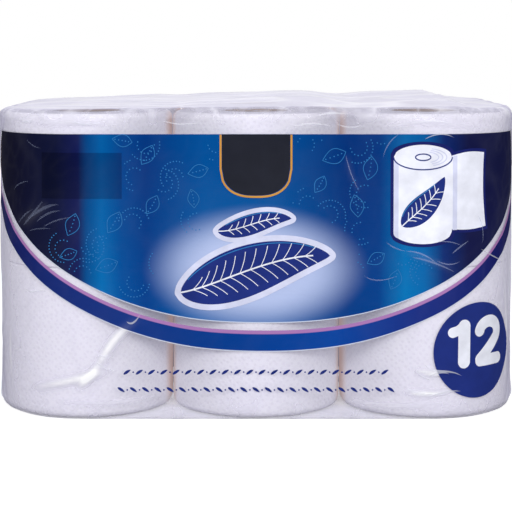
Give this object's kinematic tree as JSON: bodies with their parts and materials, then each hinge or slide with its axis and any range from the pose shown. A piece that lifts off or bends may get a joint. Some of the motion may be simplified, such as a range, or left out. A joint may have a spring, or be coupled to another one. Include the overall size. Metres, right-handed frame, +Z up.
{
  "type": "toilet paper roll pack",
  "caption": "Bundle of toilet paper rolls standing on end in two layers, wrapped in one sheet of printed clear film whose ends are folded over and heat sealed.",
  "frame": {"origin": "middle of the underside, where the pack rests", "axes": "+X along the pack's length, to the right as the printed front is seen; +Y from the printed front to the back; +Z up along the roll axes"},
  "size_m": [0.35, 0.235, 0.2105],
  "materials": {
    "printed_film": "glossy printed clear film",
    "tissue": "soft embossed tissue",
    "core_board": "matte wound board"
  },
  "bodies": {
    "root": {"film_wrap": "printed_film", "tissue_roll_1_1_1": "tissue", "tissue_roll_1_1_2": "tissue", "tissue_roll_1_1_3": "tissue", "tissue_roll_1_2_1": "tissue", "tissue_roll_1_2_2": "tissue", "tissue_roll_1_2_3": "tissue", "tissue_roll_2_1_1": "tissue", "tissue_roll_2_1_2": "tissue", "tissue_roll_2_1_3": "tissue", "tissue_roll_2_2_1": "tissue", "tissue_roll_2_2_2": "tissue", "tissue_roll_2_2_3": "tissue", "cardboard_core_1_1_1": "core_board", "cardboard_core_1_1_2": "core_board", "cardboard_core_1_1_3": "core_board", "cardboard_core_1_2_1": "core_board", "cardboard_core_1_2_2": "core_board", "cardboard_core_1_2_3": "core_board", "cardboard_core_2_1_1": "core_board", "cardboard_core_2_1_2": "core_board", "cardboard_core_2_1_3": "core_board", "cardboard_core_2_2_1": "core_board", "cardboard_core_2_2_2": "core_board", "cardboard_core_2_2_3": "core_board"}
  },
  "joints": []
}
